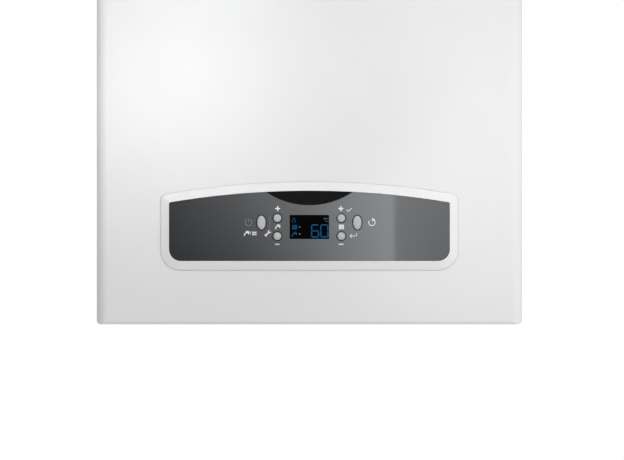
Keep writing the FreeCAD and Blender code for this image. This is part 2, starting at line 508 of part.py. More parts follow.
sv = fuse(cz(RELIEF_X, RELIEF_Y, 44, 88, 12.5), cx(140, RELIEF_X, RELIEF_Y, 62, 8), cz(RELIEF_X, RELIEF_Y, 8, 28, 7), cz(RELIEF_X, RELIEF_Y, 28, 44, 6.5))
sv = cut(sv, cz(130, PIPE_Y, 20, 130, 20), cz(RELIEF_X, RELIEF_Y, 5, 60, 5), cz(RELIEF_X, RELIEF_Y, 74, 90, 3.05))
export("safety_valve", sv)
svk = fuse(cz(RELIEF_X, RELIEF_Y, 88.4, 108, 11), *[cz(RELIEF_X + 9.5 * math.cos(math.radians(a)), RELIEF_Y + 9.5 * math.sin(math.radians(a)), 88.4, 108, 3.2) for a in range(0, 360, 45)], cz(RELIEF_X, RELIEF_Y, 76, 88.4, 3.0))
export("safety_valve_knob", svk)

# plate heat exchanger: a pressed stack
px = rrect(-98, 98, 52, 124, 10, "y", -58, -18)
for i in range(11):
    y = -54.5 + 3.2 * i
    px = cut(px, cut(box(-110, 110, y, y + 1.3, 40, 140), rrect(-96.5, 96.5, 53.5, 122.5, 8.5, "y", y - 1, y + 3)))
export("plate_exchanger", px)

# gas valve with its coils
gv = fuse(rrect(-32, 32, 150, 214, 4, "y", -215, -135), cz(0, -165, 138, 151, 16), cz(0, -190, 213, 228, 14), cy(0, -228, -215, 178, 20))
gv = cut(gv, cz(0, -165, 130, 156, 8), cz(0, -190, 210, 230, 8))
coils = [fuse(cx(-70, -32, y, 184, 17), cx(-74, -70, y, 184, 8)) for y in (-196, -155)] + [fuse(cy(0, -238, -228, 178, 16))]
export("gas_valve", gv, *coils)

pipes = [
    pipe([(0, -95, 46), (0, -95, 92), (0, -165, 92), (0, -165, 138)], 9, 8, 20),
    pipe([(0, -190, 228), (0, -190, 258), (0, -262, 258), (0, -262, 306)], 9, 8, 20),
    pipe([(-165, -190, 497), (-165, -190, 115), (-165, -108, 115)], 9, 8, 24),
    pipe([(163, -139, 262), (163, -139, 400), (163, -190, 440), (163, -190, 497)], 9, 8, 24),
    pipe([(65, -55, 338), (65, -55, 145), (65, -95, 145), (65, -95, 110)], 6, 5, 14),
]
export("copper_pipes", *pipes)

# connection fittings under the bottom plate
fits = []
for x, r in zip(PIPE_X, (G34_R, G12_R, G34_R, G12_R, G34_R)):
    big = r > 12
    shank, bore, af = (12, 8.0, 32) if big else (10, 6.0, 26)
    top_z = 46 if x == 0 else 31.5
    f = fuse(cz(x, PIPE_Y, FITTING_END, 20, r), hexz(x, PIPE_Y, 20, 29.8, af), cz(x, PIPE_Y, 29.8, top_z, shank))
    f = cut(f, cz(x, PIPE_Y, 0, 60, bore))
    fits.append(f)
export("connection_fittings", *fits)

# pressure gauge facing down, needle on its arbor
gc = fuse(cz(GAUGE_X, GAUGE_Y, 9, 30, GAUGE_R), cz(GAUGE_X, GAUGE_Y, 30, 44, 6))
gc = cut(gc, cz(GAUGE_X, GAUGE_Y, 8, 14, GAUGE_R - 1.8), cz(GAUGE_X, GAUGE_Y, 13, 20, 1.05))
export("gauge_case", gc)
nd = poly([(-1.2, -5), (1.2, -5), (0.5, 14.5), (-0.5, 14.5)], "z", 11.4, 12.2)
nd.translate(V(GAUGE_X, GAUGE_Y, 0))
nd = fuse(nd, cz(GAUGE_X, GAUGE_Y, 11.0, 12.6, 2.6), cz(GAUGE_X, GAUGE_Y, 12.6, 19, 1.0))
nd.rotate(V(GAUGE_X, GAUGE_Y, 0), V(0, 0, 1), 120)
export("gauge_needle", nd)

# cable glands
gl = []
for x in (-165, -130):
    g = fuse(hexz(x, -215, 22, 30, 19), cz(x, -215, 30, 40, 7.0), cz(x, -215, 14, 22, 8))
    g = fuse(g, hexz(x, -215, 31.5, 35.5, 19))
    gl.append(cut(g, cz(x, -215, 0, 60, 4.2)))
export("cable_glands", *gl)

# screws of the casing, the chamber door and the flue flange
def screw_y(x, z, face, length, r_head=4.5, r=2.0):
    s = fuse(cy(x, face - 2.6, face, z, r_head), cy(x, face, face + length, z, r))
    return cut(s, box(x - 3, x + 3, face - 3, face - 1.4, z - 0.5, z + 0.5), box(x - 0.5, x + 0.5, face - 3, face - 1.4, z - 3, z + 3))


screws = [screw_y(x, z, -287.2, 8) for x, z in DOOR_SCREWS]
screws += [screw_y(s * 193, z, SIDE_FRONT, 8, 4.2) for s in (-1, 1) for z in (60, 560)]
for a in (45, 135, 225, 315):
    x, y = 64 * math.cos(math.radians(a)), FLUE_Y + 64 * math.sin(math.radians(a))
    s = fuse(cz(x, y, 702, 704.4, 3.6), cz(x, y, 691, 702, 1.8))
    screws.append(cut(s, box(x - 2.6, x + 2.6, y - 0.45, y + 0.45, 703.2, 705), box(x - 0.45, x + 0.45, y - 2.6, y + 2.6, 703.2, 705)))
export("casing_screws", *screws)
print("nodes", len([f for f in os.listdir("parts") if f.endswith(".step")]))
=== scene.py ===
import bpy
import json
import math
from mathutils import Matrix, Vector
from mathutils.geometry import delaunay_2d_cdt


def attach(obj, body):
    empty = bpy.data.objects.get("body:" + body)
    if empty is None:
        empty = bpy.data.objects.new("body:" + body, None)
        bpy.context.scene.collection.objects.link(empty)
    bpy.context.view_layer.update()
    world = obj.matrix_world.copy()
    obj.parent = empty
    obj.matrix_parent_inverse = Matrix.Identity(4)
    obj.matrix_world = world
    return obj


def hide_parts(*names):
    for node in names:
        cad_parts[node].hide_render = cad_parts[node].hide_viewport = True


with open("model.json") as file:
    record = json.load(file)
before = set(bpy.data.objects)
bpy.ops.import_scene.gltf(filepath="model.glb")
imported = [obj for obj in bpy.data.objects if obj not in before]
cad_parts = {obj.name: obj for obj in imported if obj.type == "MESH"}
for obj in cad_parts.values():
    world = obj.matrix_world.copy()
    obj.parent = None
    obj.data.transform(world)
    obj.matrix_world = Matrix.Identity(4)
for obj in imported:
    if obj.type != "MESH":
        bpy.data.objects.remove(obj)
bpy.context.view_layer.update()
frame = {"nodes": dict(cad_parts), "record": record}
NODES = frame["nodes"]
scene = bpy.context.scene

ZM = 636.0          # the row origin's height above the casing's lower edge, mm
PX = 0.940          # mm per pixel of the front view


def P(x, y, z):
    """Casing millimetres to row metres."""
    return Vector((x / 1000.0, y / 1000.0, (z - ZM) / 1000.0))


def px(u, v):
    """Pixel of the front view to casing millimetres (x, z)."""
    return ((u - 309.1) * PX, (324.3 - v) * PX)


# ---------------------------------------------------------------- materials
def material(name, c1, c2, metallic=0.0, rough=(0.35, 0.45), scale=40.0, detail=3.0, bump=0.0, bump_scale=600.0,
             coat=0.0, coat_rough=0.05, stretch=(1, 1, 1), emission=None, alpha=1.0, ior=1.45, transmission=0.0, specular=0.5, spangle=0.0):
    m = bpy.data.materials.new(name)
    m.use_nodes = True
    nt = m.node_tree
    nt.nodes.clear()
    out = nt.nodes.new("ShaderNodeOutputMaterial")
    b = nt.nodes.new("ShaderNodeBsdfPrincipled")
    nt.links.new(b.outputs["BSDF"], out.inputs["Surface"])
    tc = nt.nodes.new("ShaderNodeTexCoord")
    mp = nt.nodes.new("ShaderNodeMapping")
    mp.inputs["Scale"].default_value = stretch
    nt.links.new(tc.outputs["Object"], mp.inputs["Vector"])
    nz = nt.nodes.new("ShaderNodeTexNoise")
    nz.inputs["Scale"].default_value = scale
    nz.inputs["Detail"].default_value = detail
    nt.links.new(mp.outputs["Vector"], nz.inputs["Vector"])
    fac = nz.outputs["Fac"]
    if spangle:
        vor = nt.nodes.new("ShaderNodeTexVoronoi")
        vor.inputs["Scale"].default_value = spangle
        nt.links.new(mp.outputs["Vector"], vor.inputs["Vector"])
        mixer = nt.nodes.new("ShaderNodeMath")
        mixer.operation = "MULTIPLY_ADD"
        mixer.inputs[1].default_value = 0.5
        half = nt.nodes.new("ShaderNodeMath")
        half.operation = "MULTIPLY"
        half.inputs[1].default_value = 0.5
        nt.links.new(vor.outputs["Color"], mixer.inputs[0])
        nt.links.new(nz.outputs["Fac"], half.inputs[0])
        nt.links.new(half.outputs[0], mixer.inputs[2])
        fac = mixer.outputs[0]
    ramp = nt.nodes.new("ShaderNodeValToRGB")
    ramp.color_ramp.elements[0].position = 0.3
    ramp.color_ramp.elements[0].color = (*c1, 1)
    ramp.color_ramp.elements[1].position = 0.7
    ramp.color_ramp.elements[1].color = (*c2, 1)
    nt.links.new(fac, ramp.inputs["Fac"])
    nt.links.new(ramp.outputs["Color"], b.inputs["Base Color"])
    mr = nt.nodes.new("ShaderNodeMapRange")
    mr.inputs["To Min"].default_value = rough[0]
    mr.inputs["To Max"].default_value = rough[1]
    nt.links.new(fac, mr.inputs["Value"])
    nt.links.new(mr.outputs["Result"], b.inputs["Roughness"])
    b.inputs["Metallic"].default_value = metallic
    b.inputs["IOR"].default_value = ior
    b.inputs["Specular IOR Level"].default_value = specular
    b.inputs["Coat Weight"].default_value = coat
    b.inputs["Coat Roughness"].default_value = coat_rough
    b.inputs["Alpha"].default_value = alpha
    b.inputs["Transmission Weight"].default_value = transmission
    if emission:
        b.inputs["Emission Color"].default_value = (*emission[0], 1)
        b.inputs["Emission Strength"].default_value = emission[1]
    if bump:
        n2 = nt.nodes.new("ShaderNodeTexNoise")
        n2.inputs["Scale"].default_value = bump_scale
        n2.inputs["Detail"].default_value = 2.0
        nt.links.new(mp.outputs["Vector"], n2.inputs["Vector"])
        bp = nt.nodes.new("ShaderNodeBump")
        bp.inputs["Strength"].default_value = bump
        bp.inputs["Distance"].default_value = 0.0005
        nt.links.new(n2.outputs["Fac"], bp.inputs["Height"])
        nt.links.new(bp.outputs["Normal"], b.inputs["Normal"])
    return m


MAT = {
    "white_enamel": material("white_enamel", (0.800, 0.801, 0.798), (0.826, 0.827, 0.824), rough=(0.30, 0.36), scale=9, bump=0.02, bump_scale=900, ),
    "zinc_sheet": material("zinc_sheet", (0.54, 0.55, 0.56), (0.68, 0.69, 0.70), metallic=0.9, rough=(0.34, 0.50), scale=70, detail=6, bump=0.02, bump_scale=300, spangle=130),
    "chamber_sheet": material("chamber_sheet", (0.57, 0.58, 0.59), (0.67, 0.68, 0.68), metallic=0.85, rough=(0.36, 0.5), scale=40, detail=5, bump=0.03, bump_scale=400, spangle=160),
    "white_plastic": material("white_plastic", (0.815, 0.816, 0.813), (0.838, 0.839, 0.836), rough=(0.26, 0.32), scale=12, bump=0.02, bump_scale=1500),
    # painted highlight: a brighter copy of the bezel's white plastic, for the bead on the bezel's inner edge
    "painted_highlight_white": material("painted_highlight_white", (0.90, 0.90, 0.90), (0.93, 0.93, 0.93), rough=(0.25, 0.3), scale=30),
    "fascia_grey": material("fascia_grey", (0.0185, 0.0190, 0.0205), (0.0215, 0.0220, 0.0236), rough=(0.018, 0.024), scale=25),
    "key_grey": material("key_grey", (0.485, 0.490, 0.495), (0.525, 0.530, 0.535), rough=(0.26, 0.34), scale=300, bump=0.02, bump_scale=3000),
    "display_window": material("display_window", (0.0020, 0.0020, 0.0024), (0.0032, 0.0032, 0.0036), rough=(0.14, 0.2), scale=80, specular=0.0),
    "dark_plastic": material("dark_plastic", (0.020, 0.020, 0.022), (0.032, 0.032, 0.034), rough=(0.45, 0.6), scale=120, bump=0.12, bump_scale=2500),
    "circuit_board": material("circuit_board", (0.012, 0.085, 0.028), (0.02, 0.13, 0.045), rough=(0.3, 0.42), scale=180, detail=6, bump=0.1, bump_scale=900),
    "rubber_seal": material("rubber_seal", (0.012, 0.012, 0.012), (0.022, 0.022, 0.022), rough=(0.6, 0.75), scale=200, bump=0.15, bump_scale=1800),
    "clear_glass": material("clear_glass", (0.80, 0.86, 0.84), (0.84, 0.89, 0.87), rough=(0.03, 0.06), scale=60, transmission=0.85, alpha=0.55),
    "ceramic_board": material("ceramic_board", (0.70, 0.66, 0.58), (0.82, 0.79, 0.72), rough=(0.8, 0.95), scale=150, detail=8, bump=0.3, bump_scale=700),
    "copper": material("copper", (0.60, 0.26, 0.14), (0.74, 0.36, 0.21), metallic=1.0, rough=(0.22, 0.4), scale=60, detail=5, bump=0.03, bump_scale=300),
    "brass": material("brass", (0.58, 0.42, 0.17), (0.72, 0.55, 0.26), metallic=1.0, rough=(0.24, 0.4), scale=70, detail=5, bump=0.04, bump_scale=900),
    "cast_body": material("cast_body", (0.44, 0.45, 0.46), (0.56, 0.57, 0.58), metallic=0.85, rough=(0.42, 0.58), scale=120, detail=5, bump=0.2, bump_scale=1300),
    "pump_iron": material("pump_iron", (0.016, 0.017, 0.018), (0.03, 0.031, 0.033), metallic=0.2, rough=(0.45, 0.6), scale=140, detail=5, bump=0.25, bump_scale=1000),
    "burner_steel": material("burner_steel", (0.46, 0.45, 0.43), (0.60, 0.585, 0.56), metallic=1.0, rough=(0.26, 0.42), scale=50, detail=5, stretch=(1, 1, 8)),
    "vessel_paint": material("vessel_paint", (0.36, 0.022, 0.016), (0.43, 0.03, 0.02), rough=(0.3, 0.4), scale=40, bump=0.04, bump_scale=700, coat=0.2),
    "red_plastic": material("red_plastic", (0.46, 0.013, 0.010), (0.54, 0.02, 0.014), rough=(0.35, 0.45), scale=150, bump=0.05, bump_scale=2000),
    "blue_plastic": material("blue_plastic", (0.016, 0.05, 0.24), (0.024, 0.065, 0.30), rough=(0.35, 0.45), scale=150, bump=0.05, bump_scale=2000),
    "black_plastic": material("black_plastic", (0.008, 0.008, 0.009), (0.015, 0.015, 0.016), rough=(0.38, 0.5), scale=150, bump=0.06, bump_scale=2200),
    "flue_paint": material("flue_paint", (0.76, 0.761, 0.758), (0.80, 0.801, 0.798), rough=(0.36, 0.46), scale=20, bump=0.03, bump_scale=900),
    "flue_metal": material("flue_metal", (0.60, 0.61, 0.62), (0.72, 0.73, 0.74), metallic=1.0, rough=(0.25, 0.38), scale=50, detail=5, stretch=(1, 1, 6)),
    "screw_steel": material("screw_steel", (0.50, 0.50, 0.51), (0.66, 0.66, 0.67), metallic=1.0, rough=(0.24, 0.36), scale=200, detail=4),
    "print_grey": material("print_grey", (0.19, 0.19, 0.193), (0.22, 0.22, 0.223), rough=(0.45, 0.55), scale=400),
    "print_white": material("print_white", (0.82, 0.82, 0.83), (0.87, 0.87, 0.88), rough=(0.45, 0.55), scale=400),
    "print_black": material("print_black", (0.006, 0.006, 0.006), (0.012, 0.012, 0.012), rough=(0.5, 0.6), scale=400),
    # black of the crescent badge; also the painted shade of the rings round the keys
    "badge_and_shade_black": material("badge_and_shade_black", (0.0045, 0.0045, 0.005), (0.0075, 0.0075, 0.008), rough=(0.25, 0.32), scale=120, specular=0.06),
    "display_blue": material("display_blue", (0.004, 0.016, 0.04), (0.006, 0.022, 0.05), rough=(0.4, 0.5), scale=500, specular=0.0, emission=((0.02, 0.34, 0.9), 0.18)),
    "display_dim": material("display_dim", (0.026, 0.080, 0.066), (0.032, 0.095, 0.078), rough=(0.4, 0.5), scale=500),
    "dial_green": material("dial_green", (0.03, 0.24, 0.06), (0.04, 0.29, 0.08), rough=(0.45, 0.55), scale=300),
    "clear_lens": material("clear_lens", (0.30, 0.31, 0.31), (0.36, 0.37, 0.37), rough=(0.03, 0.05), scale=60, alpha=0.08),
    "dial_white": material("dial_white", (0.74, 0.74, 0.72), (0.80, 0.80, 0.78), rough=(0.5, 0.6), scale=200),
}

slot_of = {s["node"]: s["material_slot"] for s in frame["record"]["subparts"]}
for name, ob in NODES.items():
    ob.data.materials.clear()
    ob.data.materials.append(MAT[slot_of[name]])
    for p in ob.data.polygons:
        p.use_smooth = True
    ob.data.set_sharp_from_angle(angle=math.radians(32))


# ---------------------------------------------------------------- mesh helpers
def mesh_object(name, verts, faces, mat, body, smooth=False):
    me = bpy.data.meshes.new(name)
    me.from_pydata([tuple(v) for v in verts], [], faces)
    me.validate()
    me.update()
    ob = bpy.data.objects.new(name, me)
    scene.collection.objects.link(ob)
    me.materials.append(MAT[mat])
    if smooth:
        for p in me.polygons:
            p.use_smooth = True
        me.set_sharp_from_angle(angle=math.radians(35))
    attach(ob, body)
    return ob


def union(polys):
    """Flat polygons merged into one outline: its points, triangles and the directed edges of its border."""
    pts, faces = [], []
    for p in polys:
        area2 = sum(p[i - 1][0] * p[i][1] - p[i][0] * p[i - 1][1] for i in range(len(p)))
        k = len(pts)
        pts += [Vector(q) for q in (p if area2 > 0 else p[::-1])]
        faces.append(list(range(k, k + len(p))))
    v, _, f, _, _, src = delaunay_2d_cdt(pts, [], faces, 1, 1e-5)
    tris = [tuple(t) for t, o in zip(f, src) if o]
    used = sorted({i for t in tris for i in t})
    new = {i: k for k, i in enumerate(used)}
    tris = [tuple(new[i] for i in t) for t in tris]
    edges = {(t[i - 1], t[i]) for t in tris for i in range(3)}
    border = sorted(e for e in edges if (e[1], e[0]) not in edges)
    return [tuple(v[i]) for i in used], tris, border


class Print:
    """Thin raised prints on a plane at y, seen from the front. Points are casing millimetres (x, z)."""

    def __init__(self, y, depth=0.05):
        self.polys, self.y, self.d = [], y, depth

    def prism(self, pts):
        self.polys.append(pts)

    def disc(self, c, r, n=24, squash=1.0):
        self.prism([(c[0] + r * math.cos(2 * math.pi * i / n), c[1] + r * squash * math.sin(2 * math.pi * i / n)) for i in range(n)])

    def line(self, pts, w, caps=True):
        for (x0, z0), (x1, z1) in zip(pts, pts[1:]):
            dx, dz = x1 - x0, z1 - z0
            length = math.hypot(dx, dz)
            nx, nz = -dz / length * w / 2, dx / length * w / 2
            self.prism([(x0 - nx, z0 - nz), (x1 - nx, z1 - nz), (x1 + nx, z1 + nz), (x0 + nx, z0 + nz)])
        if caps:
            for p in pts:
                self.disc(p, w / 2, 12)

    def arc(self, c, r, a0, a1, w, n=24):
        for i in range(n):
            t0, t1 = math.radians(a0 + (a1 - a0) * i / n), math.radians(a0 + (a1 - a0) * (i + 1) / n)
            q = [(c[0] + k * math.cos(t), c[1] + k * math.sin(t)) for k, t in ((r - w / 2, t0), (r + w / 2, t0), (r + w / 2, t1), (r - w / 2, t1))]
            self.prism(q)

    def done(self, name, mat, body, slot=None):
        pts, tris, border = union(self.polys)
        n = len(pts)
        v = [P(x, self.y, z) for x, z in pts] + [P(x, self.y + self.d, z) for x, z in pts]
        f = tris + [(c + n, b + n, a + n) for a, b, c in tris] + [(b, a, a + n, b + n) for a, b in border]
        return mesh_object(name, v, f, mat, body)


# ---------------------------------------------------------------- fascia prints
FASCIA_Y = -302.6
pr = Print(FASCIA_Y - 0.05, 0.06)


def tap_icon(pr, c, s, w):
    """A tap seen from the side: spout on the left, handle on top, stub on the right."""
    x, z = c
    pr.line([(x - 0.46 * s, z - 0.42 * s), (x - 0.40 * s, z - 0.10 * s), (x - 0.16 * s, z + 0.12 * s), (x + 0.34 * s, z + 0.12 * s)], w)
    pr.line([(x + 0.04 * s, z + 0.12 * s), (x + 0.04 * s, z + 0.36 * s)], w * 0.8)
    pr.line([(x - 0.14 * s, z + 0.40 * s), (x + 0.22 * s, z + 0.40 * s)], w * 0.8)
    pr.line([(x + 0.38 * s, z - 0.12 * s), (x + 0.38 * s, z + 0.34 * s)], w)


def radiator_icon(pr, c, s, w):
    x, z = c
    for i in range(4):
        u = x + (i - 1.5) * 0.28 * s
        pr.line([(u, z - 0.42 * s), (u, z + 0.42 * s)], w)
    pr.line([(x - 0.42 * s, z + 0.26 * s), (x + 0.42 * s, z + 0.26 * s)], w * 0.8)
    pr.line([(x - 0.42 * s, z - 0.26 * s), (x + 0.42 * s, z - 0.26 * s)], w * 0.8)


def plus_icon(pr, c, s, w):
    pr.line([(c[0] - s / 2, c[1]), (c[0] + s / 2, c[1])], w)
    pr.line([(c[0], c[1] - s / 2), (c[0], c[1] + s / 2)], w)


def minus_icon(pr, c, s, w):
    pr.line([(c[0] - s / 2, c[1]), (c[0] + s / 2, c[1])], w)


# left group: power, services, spanner, hot water
dim = Print(FASCIA_Y - 0.05, 0.06)
c = px(248.5, 222.4)
dim.arc(c, 3.1, 122, 418, 0.62, 30)
dim.line([(c[0], c[1] + 0.4), (c[0], c[1] + 3.4)], 0.62)
dim.line([px(269.6, 217.2), px(269.6, 228.6)], 0.5)
dim.done("fascia_symbols_grey", "print_grey", "control_panel")
tap_icon(pr, px(246.7, 233.3), 4.8, 0.96)
pr.line([px(250.0, 234.2), px(250.9, 231.4)], 0.4)
radiator_icon(pr, px(254.2, 233.4), 3.9, 0.50)
sx, sz = px(267.6, 233.4)
pr.line([(sx - 1.6, sz - 1.6), (sx + 1.0, sz + 1.0)], 1.25)
pr.arc((sx + 1.7, sz + 1.7), 1.2, 90, 360, 0.85, 16)
pr.arc((sx - 2.0, sz - 2.0), 0.8, -90, 180, 0.7, 16)
plus_icon(pr, px(277.5, 208.6), 3.7, 1.15)
tap_icon(pr, px(277.7, 226.8), 4.7, 0.95)
minus_icon(pr, px(277.2, 244.2), 3.6, 0.84)
# right group: heating, tick, return arrow, reset arrow
plus_icon(pr, px(340.6, 208.6), 3.6, 1.30)
radiator_icon(pr, px(341.1, 226.9), 4.5, 0.96)
minus_icon(pr, px(340.8, 244.2), 3.8, 1.0)
tx, tz = px(348.8, 210.0)
pr.line([(tx - 2.2, tz + 0.1), (tx - 0.7, tz - 1.4), (tx + 2.2, tz + 1.6)], 0.6)
tx, tz = px(352.8, 235.4)
pr.line([(tx + 3.2, tz + 1.7), (tx + 3.2, tz - 0.5), (tx - 3.0, tz - 0.5)], 0.6)
pr.line([(tx - 1.4, tz + 1.0), (tx - 3.0, tz - 0.5), (tx - 1.4, tz - 2.0)], 0.6)
tx, tz = px(371.5, 222.4)
pr.arc((tx, tz), 3.0, 60, -210, 0.75, 30)
pr.prism([(tx + 0.2, tz + 4.4), (tx + 0.2, tz + 1.1), (tx + 3.2, tz + 2.4)])
pr.done("fascia_symbols", "print_white", "control_panel")

# push-buttons with domed caps, each in a black ring of painted shade where the gap round the key lies in shade
KEYS = {
    "power_button": ("oval", -45.0, 95.6), "reset_button": ("oval", 45.0, 95.6),
    "hot_water_up_button": ("round", -30.0, 99.8), "hot_water_down_button": ("round", -30.0, 82.9),
    "heating_up_button": ("round", 30.0, 99.8), "heating_down_button": ("round", 30.0, 82.9),
}


def rings_mesh(x, z, a, b, profile, n=72, close_front=True):
    """Ellipses stacked along Y: profile holds (inset, y) from the back to the front, in mm."""
    v, f = [], []
    for d, y in profile:
        v += [P(x + (a - d) * math.cos(2 * math.pi * i / n), y, z + (b - d) * math.sin(2 * math.pi * i / n)) for i in range(n)]
    for k in range(len(profile) - 1):
        for i in range(n):
            j = (i + 1) % n
            f.append((k * n + i, k * n + j, (k + 1) * n + j, (k + 1) * n + i))
    if close_front:
        f.append(tuple((len(profile) - 1) * n + i for i in range(n)))
        f.append(tuple(reversed(range(n))))
    return v, f


SHADE_RING = 0.88
for name, (kind, x, z) in KEYS.items():
    a, b = (4.0, 6.5) if kind == "oval" else (3.7, 3.7)
    dome = [(-1.5, -299.75), (-1.5, -300.45), (0.0, -300.5), (0.0, -302.9), (0.06, -303.2), (0.22, -303.48), (0.5, -303.72), (0.95, -303.9), (1.5, -304.03), (2.2, -304.12), (2.9, -304.17), (3.4, -304.19)]
    v, f = rings_mesh(x, z, a, b, dome)
    cap = mesh_object(name + "_cap", v, f, "key_grey", name + "_body", smooth=True)
    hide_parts(name)
    # painted shade: a black annulus on the fascia where the gap round each key lies in shade
    v, f = rings_mesh(x, z, a, b, [(-SHADE_RING, -300.75), (-SHADE_RING, -302.3), (-0.14, -301.9), (-0.14, -300.75), (-SHADE_RING, -300.75)], close_front=False)
    mesh_object(name + "_shade_ring", v, f, "badge_and_shade_black", "control_panel")

# painted highlight: a bead of brighter white along the bezel's inner edge, standing in for the highlight on that edge
def outline(hw, zb, zt, R, rb, rt, grow, n=24):
    """Closed outline (x, z): flat bottom with round corners, arched top, as the bezel and fascia have."""
    hw, zb, zt, R, rb, rt = hw + grow, zb - grow, zt + grow, R + grow, max(rb + grow, 0.5), max(rt + grow, 0.5)
    zc = zt - R
    fx = hw - rt
    fz = zc + math.sqrt((R - rt) ** 2 - fx ** 2)
    k = R / (R - rt)
    tx, tz = fx * k, zc + (fz - zc) * k
    top = math.atan2(tz - fz, tx - fx)
    right = [(hw - rb + rb * math.sin(t), zb + rb - rb * math.cos(t)) for t in (math.pi / 2 * i / n for i in range(n + 1))]
    right += [(fx + rt * math.cos(t), fz + rt * math.sin(t)) for t in (top * i / (n // 2) for i in range(n // 2 + 1))]
    a0, a1 = math.atan2(tz - zc, tx), math.pi / 2
    right += [(R * math.cos(a), zc + R * math.sin(a)) for a in (a0 + (a1 - a0) * i / 40 for i in range(1, 40))]
    return right + [(0.0, zt)] + [(-x, z) for x, z in reversed(right)]


def bead(name, line, y, r, mat, body, n=10):
    """A round bead of radius r along a closed line at depth y."""
    v, f, m = [], [], len(line)
    for i, (x, z) in enumerate(line):
        (xa, za), (xb, zb) = line[i - 1], line[(i + 1) % m]
        d = math.hypot(xb - xa, zb - za)
        nx, nz = (zb - za) / d, -(xb - xa) / d
        v += [P(x + r * math.cos(t) * nx, y - r * math.sin(t), z + r * math.cos(t) * nz) for t in (2 * math.pi * j / n for j in range(n))]
    for i in range(m):
        for j in range(n):
            a, b = i * n + j, i * n + (j + 1) % n
            c, d = ((i + 1) % m) * n + (j + 1) % n, ((i + 1) % m) * n + j
            f.append((a, d, c, b))
    return mesh_object(name, v, f, mat, body, smooth=True)


FA = dict(hw=131.7, zb=59.5, zt=125.5, R=794.0, rb=11.0, rt=2.0)
# painted highlight along the bezel's inner edge
bead("bezel_inner_highlight_bead", outline(grow=0.42, **FA), -303.74, 0.42, "painted_highlight_white", "control_panel")

# black crescent plate hanging from the fascia's arched top edge
zc_top, r_top = 125.35 - 793.9, 793.9
pts = []
for i in range(25):
    x = 40.7 - 81.4 * i / 24
    pts.append((x, zc_top + math.sqrt(r_top ** 2 - x * x)))
z_end = pts[0][1]
R_low = 73.2
zc_low = 111.9 + R_low
z_shift = z_end - (zc_low - math.sqrt(R_low ** 2 - 40.7 ** 2))
for i in range(1, 32):
    x = -40.7 + 81.4 * i / 32
    z = zc_low - math.sqrt(R_low ** 2 - x * x)
    pts.append((x, z + z_shift * (abs(x) / 40.7) ** 2))
badge = Print(FASCIA_Y - 0.45, 0.45)
badge.prism(pts[::-1])
badge.done("fascia_badge", "badge_and_shade_black", "control_panel")

# display contents
LENS_Y = -302.45
dp = Print(LENS_Y - 0.04, 0.03)


def digit(u0, u1, v0, v1, segs, w=1.15):
    (x0, z1), (x1, z0) = px(u0, v0), px(u1, v1)
    x0, x1, z0, z1 = x0 + w / 2, x1 - w / 2, z0 + w / 2, z1 - w / 2
    zm, g = (z0 + z1) / 2, 0.35
    table = {"a": [(x0 + g, z1), (x1 - g, z1)], "g": [(x0 + g, zm), (x1 - g, zm)], "d": [(x0 + g, z0), (x1 - g, z0)],
             "f": [(x0, zm + g), (x0, z1 - g)], "b": [(x1, zm + g), (x1, z1 - g)], "e": [(x0, z0 + g), (x0, zm - g)], "c": [(x1, z0 + g), (x1, zm - g)]}
    for s in segs:
        dp.line(table[s], w, caps=False)


digit(310.8, 318.9, 224.3, 237.5, "afgedc")
digit(320.0, 328.1, 224.3, 237.5, "abcdef")
fx, fz = px(293.7, 220.2)
dp.line([(fx + x, fz + z) for x, z in ((-0.9, -2.2), (-1.5, -0.9), (-1.1, 0.3), (-0.2, 1.4), (0.0, 2.4), (0.6, 1.3), (1.2, 0.2), (1.4, -1.0), (0.8, -2.2))], 0.5)
radiator_icon(dp, px(294.5, 227.2), 4.4, 0.72)
tap_icon(dp, px(294.3, 234.2), 4.6, 0.85)
dg = Print(LENS_Y - 0.04, 0.03)
dg.arc(px(324.2, 218.6), 0.65, 0, 360, 0.45, 16)
dg.arc(px(326.9, 219.9), 1.5, 50, 310, 0.6, 20)
dg.done("display_unit", "display_dim", "control_panel")
dw = Print(LENS_Y - 0.04, 0.03)
for v in (227.2, 234.2):
    x, z = px(299.4, v)
    dw.prism([(x - 0.8, z + 0.7), (x, z - 0.8), (x + 0.8, z + 0.7)])
dw.done("display_marks", "print_grey", "control_panel")
dp.done("display_symbols", "display_blue", "control_panel")

# ---------------------------------------------------------------- underside details
class Flat:
    """Thin closed prints on a level plane, between two heights. Points are casing millimetres (x, y)."""

    def __init__(self, z0, z1):
        self.polys, self.z0, self.z1 = [], z0, z1

    def prism(self, pts):
        self.polys.append(pts)

    def disc(self, c, r, n=72):
        self.prism([(c[0] + r * math.cos(2 * math.pi * i / n), c[1] + r * math.sin(2 * math.pi * i / n)) for i in range(n)])

    def band(self, c, r0, r1, a0, a1, n):
        """Part of a ring between two angles."""
        t = [math.radians(a0 + (a1 - a0) * i / n) for i in range(n + 1)]
        self.prism([(c[0] + r1 * math.cos(q), c[1] + r1 * math.sin(q)) for q in t] + [(c[0] + r0 * math.cos(q), c[1] + r0 * math.sin(q)) for q in reversed(t)])

    def done(self, name, mat, body, slot=None):
        pts, tris, border = union(self.polys)
        n = len(pts)
        v = [P(x, y, self.z0) for x, y in pts] + [P(x, y, self.z1) for x, y in pts]
        f = [(c, b, a) for a, b, c in tris] + [(a + n, b + n, c + n) for a, b, c in tris] + [(a, b, b + n, a + n) for a, b in border]
        return mesh_object(name, v, f, mat, body)


